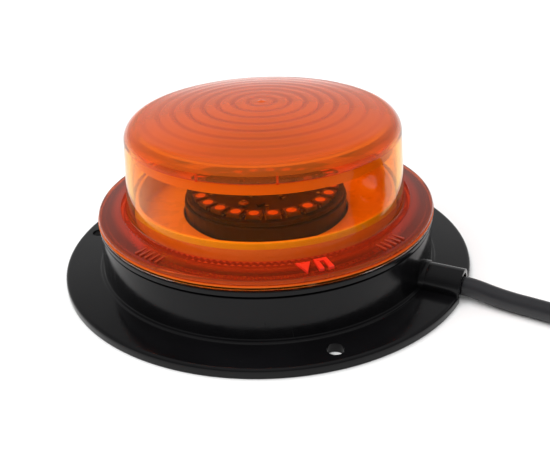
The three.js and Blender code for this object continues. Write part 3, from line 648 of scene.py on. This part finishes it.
def base_housing():
    shell = housing_body()
    hood = housing_hood("hood", 6.5, 10.9, 61.0, 79.6)
    collar = housing_hood("collar", 7.0, 11.35, 61.0, 67.0)
    additions = [hood, collar, *lock_ledges()]
    cuts = [lead_channel()]
    for azimuth in POST_AZIMUTHS:
        x, y, _ = polar(54, azimuth)
        additions.append(post("plate_post", 3.4, 3.2, 15.4, x, y, [BLACK]))
        cuts.append(post("pilot", PILOT_RADIUS, 2, 12, x, y, [BLACK]))
    for x, y in ((26, 30), (-26, -30)):
        additions.append(post("driver_post", 2.8, 8.5, 15.4, x, y, [BLACK]))
        cuts.append(post("pilot", PILOT_RADIUS, 7.5, 13.5, x, y, [BLACK]))
    for azimuth in (0, 120, 240):
        x, y, _ = polar(37, azimuth)
        cuts.append(post("pilot", PILOT_RADIUS, 14, 18, x, y, [BLACK]))
    for azimuth in BOLT_AZIMUTHS:
        x, y, _ = polar(BOLT_CIRCLE_RADIUS, azimuth)
        cuts.append(post("bolt_hole", BOLT_HOLE_RADIUS, -1, 5, x, y, [BLACK], 48))
    carve(shell, additions, "UNION")
    carve(shell, cuts, "DIFFERENCE")
    shell.name = "base_housing_moulding"
    bevelled(shell, 0.22, 2)
    return finish_mesh(shell, 40)


housing = base_housing()
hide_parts("base_housing")
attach(housing, "base")


# ------------------------------------------------------------------ twist-lock lens
LENS_SEGMENTS = 300
CREST, CROWN_RADIUS, WALL = 64.2, 249.0, 2.5
SHOULDER_R, SHOULDER_Z, SHOULDER_FILLET = 45.018, 53.417, 6.6
FOOT_RADIUS = 53.502
SERRATION_INNER, SERRATION_OUTER = 53.9, 56.1
TOOTH_HEIGHT = 0.32
CROWN_EDGE_Z = 55.9
CREST_HEIGHT, NUB_HEIGHT = 0.03, 0.35
PRISM_RINGS, PRISM_DEPTH = 8, 0.9


def crown_z(radius):
    """The height of the crown's shallow dome, without its crests."""
    return CREST - (CROWN_RADIUS - math.sqrt(CROWN_RADIUS ** 2 - radius ** 2))


def outer_crown():
    """Faint crests on the outside, one to each ring, and a small nub where the mould was fed."""
    points = []
    steps = 96
    for i in range(steps + 1):
        radius = 46.2 * (1 - i / steps)
        wave = 0.5 + 0.5 * math.cos(TAU * (radius - FIRST_RING - 0.5 * RING_PITCH) / RING_PITCH)
        crest = CREST_HEIGHT * wave ** 2 * eased(radius, 2, 6)
        nub = NUB_HEIGHT * (1 - eased(radius, 0.6, 1.6))
        points.append((radius, crown_z(radius) + crest + nub))
    return points


def inner_crown():
    """Prism rings: each grows thicker outwards and drops back at its edge."""
    profile = ((-0.98, 0.0), (-0.65, 0.42), (-0.3, 0.85), (-0.12, 1.0), (-0.03, 0.12))
    points = [(0.0, crown_z(0) - WALL)]
    for ring in range(PRISM_RINGS):
        edge = FIRST_RING + RING_PITCH * ring
        for share, depth in profile:
            radius = edge + RING_PITCH * share
            if radius > 0.5:
                points.append((radius, crown_z(radius) - WALL - PRISM_DEPTH * depth))
    return points


# The lens's material slots, and under them each one's place in the list
LENS_FINISHES = [
    AMBER_CLEAR, AMBER_PRISM, AMBER_CROWN, AMBER_SHOULDER,
    AMBER_SKIRT, AMBER_LIGHT_BAND, AMBER_LIP_HIGHLIGHT, AMBER_LIGHT_FOOT,
]
CLEAR, PRISM, CROWN, SHOULDER, SKIRT, LIGHT_BAND, LIP_HIGHLIGHT, LIGHT_FOOT = range(8)
# The hanging rim's faces and bottom, and the top of its band of painted light
RIM_INNER, RIM_OUTER, RIM_BOTTOM, LIGHT_BAND_TOP = 46.9, 48.2, 48.8, 52.4
# The bottom and top of the band of painted light round the wall's foot
FOOT_BAND_TOP, LIGHT_FOOT_TOP = 31.4, 34.0


def lens_sections():
    """The outline in stretches of one finish, from the crown's inner face to its outer face. A
    thin rim hangs from the crown's edge inside the wall, and its lower part is a pale frosted
    band, painted light for a bright stripe round the inside of the wall. A yellower band round the
    wall's foot is painted light too, and a lighter band on the lip is a painted highlight."""
    inner_radius = SHOULDER_FILLET - WALL
    rim_start = math.degrees(math.acos((RIM_INNER - SHOULDER_R) / inner_radius))
    rim_end = math.degrees(math.acos((RIM_OUTER - SHOULDER_R) / inner_radius))
    skirt_under = filleted(
        [
            (52.1, 18.8), (54.8, 18.8), (54.8, 22.9), (61.6, 22.9),
            (61.6, 24.5), (63.5, 24.5), (63.5, 22.9), (64.8, 22.9),
        ],
        [0.4, 0.4, 0.2, 0.2, 0.3, 0.3, 0.2, 0.45], 3,
    )
    serration = [
        (SERRATION_OUTER, 26.86), (SERRATION_OUTER - 0.3, 26.9),
        (SERRATION_INNER + 0.3, 27.1), (SERRATION_INNER, 27.2),
    ]
    shoulder = arc(SHOULDER_R, SHOULDER_Z, SHOULDER_FILLET, 4.2, 78, 14)
    clear_shoulder = [point for point in shoulder if point[1] < CROWN_EDGE_Z]
    return [
        (inner_crown(), PRISM),
        (arc(SHOULDER_R, SHOULDER_Z, inner_radius, 79, rim_start, 3), CLEAR),
        # the hanging rim, its lower part a pale band of painted light
        (
            [
                (RIM_INNER, LIGHT_BAND_TOP), (RIM_INNER, RIM_BOTTOM + 0.3),
                (RIM_INNER + 0.25, RIM_BOTTOM),
                (RIM_OUTER - 0.25, RIM_BOTTOM), (RIM_OUTER, RIM_BOTTOM + 0.3),
            ],
            LIGHT_BAND,
        ),
        ([(RIM_OUTER, LIGHT_BAND_TOP)], CLEAR),
        # down the wall's inner face, and under the skirt
        (arc(SHOULDER_R, SHOULDER_Z, inner_radius, rim_end, 4.2, 6), CLEAR),
        ([(50.4, 36), (51.0, 27.6), (51.4, 25.6)] + skirt_under, CLEAR),
        # the lip with its groove, its bevel a lighter amber for a painted highlight, and over the
        # skirt
        ([(64.8, 24.0), (64.6, 24.2)], LIP_HIGHLIGHT),
        ([(64.05, 24.35), (64.05, 24.55), (64.4, 24.75)] + arc(63.4, 25.0, 1.1, 0, 90, 8), SKIRT),
        ([(61.5, 26.28), (58.6, 26.62)] + serration, SKIRT),
        # up the wall's outer face, with a band of painted light at its foot, and over the crown
        ([(53.75, 27.35), (FOOT_RADIUS + 0.1, 27.7), (FOOT_RADIUS - 0.05, 28.4)], SHOULDER),
        ([(53.25, FOOT_BAND_TOP)], LIGHT_FOOT),
        ([(53.03, LIGHT_FOOT_TOP), (52.9, 36), (52.2, 45)], CLEAR),
        (clear_shoulder, SHOULDER),
        (shoulder[len(clear_shoulder):] + outer_crown(), CROWN),
    ]


def lens():
    outline, slots = [], []
    for points, slot in lens_sections():
        outline += points
        slots += [slot] * len(points)
    teeth = {
        i for i, (r, z) in enumerate(outline)
        if SERRATION_INNER + 0.2 < r < SERRATION_OUTER - 0.2 and 26.8 < z < 27.2
    }

    def lift(index, segment):
        return (TOOTH_HEIGHT if segment % 2 else -TOOTH_HEIGHT) if index in teeth else 0.0

    shell = lathe(
        "lens_shell", outline, LENS_SEGMENTS, LENS_FINISHES, closed=False, lift=lift,
        face_slot=lambda i: slots[i],
    )
    lugs = [
        wedge("lug", 54.5, 58.4, 18.8, 20.9, centre - 9, centre + 9, LENS_FINISHES, 12)
        for centre in LUG_AZIMUTHS
    ]
    carve(shell, lugs, "UNION")
    shell.name = "lens_moulding"
    return finish_mesh(shell, 28)


dome = lens()
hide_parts("dome_lens")
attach(dome, "lens")


def lock_mark():
    """An arrow and an open hook moulded on the skirt show where the lens locks. Two thin ribs
    stand between the hanging rim and the wall, and a thin dark arc lies on the crown's edge."""
    hook = ((62.0, -45.9, -44.3), (62.0, -42.7, -41.1), (57.2, -44.3, -42.7))
    blocks = [
        wedge("bar", 55.6, outer, 26.2, 27.3, start, end, [RED_MARK], 2)
        for outer, start, end in hook
    ]
    tip, left, right = polar(62.4, -49.6)[:2], polar(56.4, -52.2)[:2], polar(56.4, -47.1)[:2]
    blocks.append(prism("arrow", [tip, right, left], 26.25, 27.3, [RED_MARK]))
    # A thin dark line along the crown's edge over a twelfth of a turn
    blocks.append(wedge("dark_arc", 45.7, 46.0, 59.6, 60.03, 75, 105, [RIB_RED], 24))
    for azimuth in (-88.0, -57.0):
        start, end = azimuth, azimuth + 0.9
        blocks.append(wedge("gate", 48.3, 48.95, 52.6, 56.2, start, end, [RED_MARK], 2))
    return joined("lock_mark", blocks)


mark = bevelled(lock_mark(), 0.08)
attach(mark, "lens")


# The azimuth where each group of ridges starts, and the ridges' step and width, in degrees
RIB_GROUPS = (-107.6, -22, 72.4, 158)
RIBS_IN_A_GROUP = 5
RIB_STEP, RIB_WIDTH = 2.3, 0.8


def skirt_ribs():
    """Short grip ridges across the skirt, in groups about a quarter turn apart."""
    starts = [
        group + RIB_STEP * place for group in RIB_GROUPS for place in range(RIBS_IN_A_GROUP)
    ]
    blocks = [
        wedge("rib", 57.6, 62.4, 26.1, 26.75, start, start + RIB_WIDTH, [RIB_RED], 2)
        for start in starts
    ]
    return joined("skirt_ribs", blocks)


ribs = skirt_ribs()
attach(ribs, "lens")


# ------------------------------------------------------------------ reflector dish
def reflector():
    """A flat deck round the pedestal, an upright rim inside the lens wall and three legs."""
    outline = filleted(
        [(32.2, 20.8), (50, 20.8), (50, 32.4), (48.6, 32.4), (48.6, 22.4), (32.2, 22.4)],
        [0.2, 0.5, 0.35, 0.35, 2.4, 0.3],
    )
    dish = lathe("reflector_moulding", outline, 180, [WHITE])
    legs = [
        post("leg", 2.4, 17.3, 21.2, *polar(45, azimuth)[:2], [WHITE])
        for azimuth in POST_AZIMUTHS
    ]
    carve(dish, legs, "UNION")
    dish.name = "reflector_moulding"
    return finish_mesh(dish, 35)


dish = reflector()
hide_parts("reflector_deck")
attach(dish, "base")


# ------------------------------------------------------------------ LED board and its parts
LED_RING_RADIUS = 26
LED_AZIMUTHS = [4 + 15 * i for i in range(24)]
TEST_PAD_RADIUS = 21.2
PIN_PITCH = 1.27


def turned_about(points, azimuth, radius):
    """Points drawn with the part's centre at the origin, placed at a radius and an azimuth."""
    cos_a, sin_a = math.cos(math.radians(azimuth)), math.sin(math.radians(azimuth))
    return [
        ((radius + x) * cos_a - y * sin_a, (radius + x) * sin_a + y * cos_a) for x, y in points
    ]


def slab(name, size_x, size_y, low, high, azimuth, radius, materials, offset=(0, 0)):
    x, y = size_x / 2, size_y / 2
    corners = [(offset[0] + a, offset[1] + b) for a, b in ((-x, -y), (x, -y), (x, y), (-x, y))]
    return prism(name, turned_about(corners, azimuth, radius), low, high, materials)


EMITTER_OUTLINE = [
    (0.0, 31.9), (0.7, 31.88), (1.4, 31.83), (1.95, 31.74), (2.1, 31.5), (0.0, 31.5),
]


def led_fittings():
    """Each LED's domed phosphor, its gull-wing legs and the solder pads under them."""
    blocks = []
    for azimuth in LED_AZIMUTHS:
        x, y, _ = polar(LED_RING_RADIUS, azimuth)
        emitter = lathe("emitter", EMITTER_OUTLINE, 20, [PHOSPHOR], closed=False)
        emitter.data.transform(Matrix.Translation((x * MM, y * MM, 0)))
        blocks.append(emitter)
        for side in (-1, 1):
            for place in (-1.6, 0, 1.6):
                blocks.append(slab(
                    "leg", 0.8, 0.36, 30.18, 30.7, azimuth, LED_RING_RADIUS, [TIN],
                    offset=(place, side * 2.6),
                ))
                blocks.append(slab(
                    "pad", 0.9, 0.5, 29.92, 30.14, azimuth, LED_RING_RADIUS, [TIN],
                    offset=(place, side * 2.7),
                ))
    return joined("led_fittings", blocks)


fittings = finish_mesh(led_fittings(), 35)
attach(fittings, "base")


def board_details():
    """Small parts and pads in the middle of the board: resistors with tinned ends, test pads, and
    the pins of the flash controller."""
    blocks = []
    for radius, azimuth in ((9.5, 200), (10.5, 100), (12.0, 330), (9.0, 265), (18.5, 300)):
        blocks.append(slab("body", 1.7, 1.3, 30.0, 30.55, azimuth, radius, [EPOXY]))
        for side in (-1, 1):
            offset = (side * 1.08, 0)
            blocks.append(slab("end", 0.45, 1.34, 29.98, 30.57, azimuth, radius, [TIN], offset))
    for azimuth in range(10, 370, 30):
        x, y, _ = polar(TEST_PAD_RADIUS, azimuth)
        blocks.append(post("pad", 0.7, 29.92, 29.99, x, y, [TIN], 16))
    for side in (-1, 1):
        for step in range(4):
            x, y = -3 + (step - 1.5) * PIN_PITCH, -6 + side * 2.7
            left, right, front, back = x - 0.2, x + 0.2, y - 0.7, y + 0.7
            corners = [(left, front), (right, front), (right, back), (left, back)]
            blocks.append(prism("pin", corners, 29.98, 30.45, [TIN]))
    return joined("board_details", blocks)


details = finish_mesh(board_details(), 35)
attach(details, "base")


# ------------------------------------------------------------------ finishes of the CAD nodes
# The start of a CAD node's name, its material and the width of its broken edges
FINISHES = [
    (("bottom_plate",), SATIN_BLACK, 0.25),
    (("bottom_gasket", "cable_grommet", "lens_seal"), RUBBER, 0.0),
    (("plate_screw", "pedestal_screw", "board_screw", "driver_screw"), ZINC, 0.12),
    (("led_pedestal",), ANODISED, 0.2),
    (("led_board",), BOARD_BLACK, 0.0),
    (("driver_board",), BOARD_GREEN, 0.0),
    (("flash_controller", "chip_resistor", "driver_regulator", "board_link_header"), EPOXY, 0.1),
    (("driver_inductor",), FERRITE, 0.15),
    (("driver_capacitor",), CAN, 0.1),
    (("terminal_block",), NYLON_GREEN, 0.15),
    (("cable_inner",), JACKET, 0.0),
    (("core_red_inner",), RED_PVC, 0.0),
    (("core_black_inner",), BLACK_PVC, 0.0),
    (("cable_tie",), NYLON, 0.15),
    (("coil_tie",), NYLON_BLACK, 0.15),
    (("led_0", "led_1", "led_2"), LED_WHITE, 0.12),
]


def finish_of(name):
    for prefixes, material, edge in FINISHES:
        if any(name.startswith(prefix) for prefix in prefixes):
            return material, edge
    return None


for node_name, node in nodes.items():
    chosen = finish_of(node_name)
    if chosen is None:
        continue
    material, edge = chosen
    for slot_holder in node.material_slots:
        slot_holder.material = material
    if edge:
        bevelled(node, edge)


# ------------------------------------------------------------------ floor, light and surroundings
# The level direction of the brighter half of the room
LIT_SIDE = (-0.473, 0.881, 0.0)
# Grey levels of the room against the sine of the height above the horizon
LIT_SKY = (
    (0.0, 1.0), (0.12, 0.66), (0.3, 0.62), (0.47, 0.6), (0.68, 0.34), (0.85, 0.6), (1.0, 0.65),
)
DIM_SKY = ((0.0, 1.0), (0.05, 0.8), (0.17, 0.35), (0.47, 0.24), (0.75, 0.4), (1.0, 0.65))
FLOOR_REACH = 6000
SUN_STRENGTH, SUN_SPREAD = 2.8, 75


def add_floor():
    reach = FLOOR_REACH
    corners = [(-reach, -reach), (reach, -reach), (reach, reach), (-reach, reach)]
    floor = prism("floor", corners, -0.6, -0.05, [])
    shader = Shader("pale_floor")
    shader.set(Base_Color=(0.93, 0.93, 0.93, 1), Roughness=0.6)
    floor.data.materials.append(shader.material)


def add_room():
    """A pale room round the beacon, lighter on one side, with a smooth change between sides."""
    world = bpy.data.worlds.new("studio")
    scene.world = world
    world.use_nodes = True
    tree = world.node_tree
    background = tree.nodes["Background"]
    direction = tree.nodes.new("ShaderNodeTexCoord").outputs["Generated"]
    apart = tree.nodes.new("ShaderNodeSeparateXYZ")
    tree.links.new(direction, apart.inputs[0])

    def sky(stops):
        ramp = tree.nodes.new("ShaderNodeValToRGB")
        tree.links.new(apart.outputs["Z"], ramp.inputs["Fac"])
        while len(ramp.color_ramp.elements) < len(stops):
            ramp.color_ramp.elements.new(0.5)
        for element, (place, level) in zip(ramp.color_ramp.elements, stops):
            element.position = place
            element.color = (level, level, level, 1)
        return ramp.outputs["Color"]

    towards = tree.nodes.new("ShaderNodeVectorMath")
    towards.operation = "DOT_PRODUCT"
    towards.inputs[1].default_value = LIT_SIDE
    tree.links.new(direction, towards.inputs[0])
    side = tree.nodes.new("ShaderNodeMapRange")
    side.interpolation_type = "SMOOTHSTEP"
    side.inputs["From Min"].default_value = -0.6
    side.inputs["From Max"].default_value = 0.4
    tree.links.new(towards.outputs["Value"], side.inputs["Value"])
    blend = tree.nodes.new("ShaderNodeMix")
    blend.data_type = "RGBA"
    tree.links.new(side.outputs["Result"], blend.inputs["Factor"])
    tree.links.new(sky(DIM_SKY), blend.inputs[6])
    tree.links.new(sky(LIT_SKY), blend.inputs[7])
    tree.links.new(blend.outputs[2], background.inputs["Color"])
    background.inputs["Strength"].default_value = 1.0


def add_sun():
    """A very soft lamp from above that leaves no highlight of its own."""
    overhead = bpy.data.lights.new("overhead", "SUN")
    overhead.energy = SUN_STRENGTH
    overhead.angle = math.radians(SUN_SPREAD)
    obj = bpy.data.objects.new("overhead", overhead)
    obj.visible_glossy = False
    aim = Vector((0.25, 0.3, -1)).to_track_quat("-Z", "Y")
    obj.matrix_world = aim.to_matrix().to_4x4()
    scene.collection.objects.link(obj)


add_floor()
add_room()
add_sun()
scene.view_settings.view_transform = "Standard"
